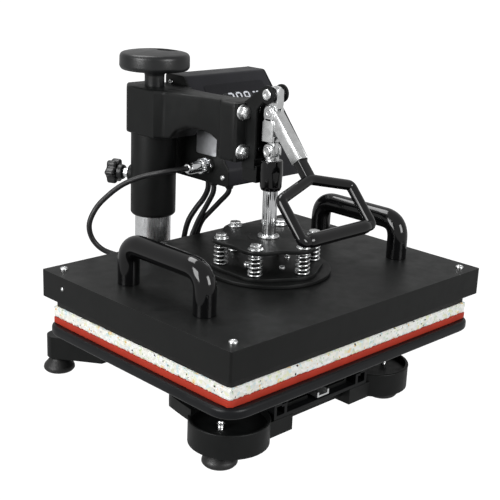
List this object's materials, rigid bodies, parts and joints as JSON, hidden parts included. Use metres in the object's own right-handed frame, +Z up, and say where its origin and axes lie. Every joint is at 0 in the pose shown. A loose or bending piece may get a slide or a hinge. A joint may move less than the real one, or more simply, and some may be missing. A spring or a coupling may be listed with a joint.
{
  "type": "swing-away heat press",
  "caption": "Swing-away flat heat press: chrome column, swivelling arm with toggle lever and spring-loaded platen, foam-topped table, sloping control box, cast feet and a coiled mains cord.",
  "frame": {"origin": "middle of the machine's bounding box in plan, at floor level, leaving out the mains cord, its coil and its plug", "axes": "+Z up, -Y towards the operator, +X to the operator's right"},
  "size_m": [0.38, 0.523, 0.3732],
  "materials": {
    "cast_black": "satin black paint over cast metal",
    "extrusion_black": "black anodised",
    "sheet_black": "satin black powder coat",
    "gloss_black": "gloss black enamel",
    "knob_black": "moulded phenolic, slight sheen",
    "chrome": "bright chrome plate",
    "zinc": "bright zinc plate",
    "aluminium": "bare, machined",
    "coated_plate": "black non-stick coating",
    "rubber": "matt black",
    "silicone": "matt orange-red silicone",
    "foam": "cream rebonded foam with coloured chips",
    "box_grey": "satin charcoal powder coat",
    "display": "smoked window",
    "insulation": "mineral fibre board"
  },
  "bodies": {
    "base": {"front_casting": "cast_black", "rear_casting": "cast_black", "base_rail": "extrusion_black", "rail_channel": "aluminium", "front_left_foot": "rubber", "front_right_foot": "rubber", "rear_left_foot": "rubber", "rear_right_foot": "rubber", "post": "chrome", "table_frame": "sheet_black", "table": "cast_black", "silicone_pad": "silicone", "foam_sheet": "foam", "mains_cord": "rubber", "mains_coil": "rubber", "mains_plug": "rubber"},
    "swivel": {"thrust_pad": "zinc"},
    "knob": {"pressure_screw": "knob_black", "pressure_knob": "knob_black"},
    "arm": {"arm_casting": "cast_black", "swing_sleeve": "cast_black", "toggle_bracket": "cast_black", "guide_sleeve": "gloss_black", "pivot_pin": "zinc", "control_box": "box_grey", "box_end_left": "box_grey", "box_end_right": "box_grey", "display_window": "display", "box_bracket": "cast_black", "lead_connector": "zinc", "heater_lead": "rubber", "sensor_lead": "rubber", "earth_lead": "rubber"},
    "clamp": {"lock_knob": "knob_black"},
    "lever": {"lever_channel": "zinc", "handle_frame": "gloss_black"},
    "ram": {"ram_shaft": "chrome", "ram_fork": "zinc", "fork_pin": "zinc", "spring_plate": "sheet_black", "shaft_collar": "zinc"},
    "link": {"toggle_link": "zinc"},
    "platen": {"platen_cover": "sheet_black", "heat_plate": "coated_plate", "insulation_board": "insulation", "mounting_disc": "sheet_black", "left_cover_handle": "gloss_black", "right_cover_handle": "gloss_black", "spring_1": "zinc", "spring_2": "zinc", "spring_3": "zinc", "spring_4": "zinc", "spring_5": "zinc", "spring_6": "zinc"},
    "button_1": {"panel_button_1": "knob_black"},
    "button_2": {"panel_button_2": "knob_black"},
    "button_3": {"panel_button_3": "knob_black"},
    "rocker": {"power_switch": "knob_black"}
  },
  "joints": [
    {"name": "swing", "type": "hinge", "parent": "base", "child": "swivel", "pos_m": [0, 0.1397, 0.18], "axis": [0, 0, 1], "range_deg": [-110, 110], "deforming": ["mains_cord"]},
    {"name": "knob_turn", "type": "hinge", "parent": "swivel", "child": "knob", "pos_m": [0, 0.1397, 0.36], "axis": [0, 0, 1], "range_deg": [0, 900]},
    {"name": "height", "type": "slide", "parent": "swivel", "child": "arm", "axis": [0, 0, 1], "range_m": [0, 0.0075], "deforming": ["mains_cord"]},
    {"name": "lock_turn", "type": "hinge", "parent": "arm", "child": "clamp", "pos_m": [0, 0.1397, 0.2254], "axis": [-0.4195, 0.9078, 0], "range_deg": [0, 360]},
    {"name": "lever_lift", "type": "hinge", "parent": "arm", "child": "lever", "pos_m": [0, -0.0543, 0.3494], "axis": [-1, 0, 0], "range_deg": [0, 100]},
    {"name": "ram_stroke", "type": "slide", "parent": "arm", "child": "ram", "axis": [0, 0, 1], "range_m": [0, 0.02688], "deforming": ["heater_lead", "sensor_lead", "earth_lead"]},
    {"name": "link_swing", "type": "hinge", "parent": "ram", "child": "link", "pos_m": [0, -0.0543, 0.2899], "axis": [1, 0, 0], "range_deg": [0, 27.52]},
    {"name": "platen_float", "type": "slide", "parent": "ram", "child": "platen", "axis": [0, 0, 1], "range_m": [0, 0.004], "stiffness_N_per_m": 20000, "springref_m": -0.002, "deforming": ["spring_1", "spring_2", "spring_3", "spring_4", "spring_5", "spring_6", "heater_lead", "sensor_lead", "earth_lead"]},
    {"name": "button_1_press", "type": "slide", "parent": "arm", "child": "button_1", "axis": [0, 0.7676, -0.641], "range_m": [0, 0.0015], "stiffness_N_per_m": 300, "springref_m": -0.001},
    {"name": "button_2_press", "type": "slide", "parent": "arm", "child": "button_2", "axis": [0, 0.7676, -0.641], "range_m": [0, 0.0015], "stiffness_N_per_m": 300, "springref_m": -0.001},
    {"name": "button_3_press", "type": "slide", "parent": "arm", "child": "button_3", "axis": [0, 0.7676, -0.641], "range_m": [0, 0.0015], "stiffness_N_per_m": 300, "springref_m": -0.001},
    {"name": "rocker_tilt", "type": "hinge", "parent": "arm", "child": "rocker", "pos_m": [0.162, 0.0927, 0.2605], "axis": [0, -1, 0], "range_deg": [0, 12]}
  ],
  "couplings": [
    {"joint": "height", "follows": "knob_turn", "m_per_rad": 0.00047746},
    {"joint": "ram_stroke", "follows": "lever_lift", "m_per_rad": 0.015402},
    {"joint": "link_swing", "follows": "lever_lift", "ratio": 0.27517}
  ]
}
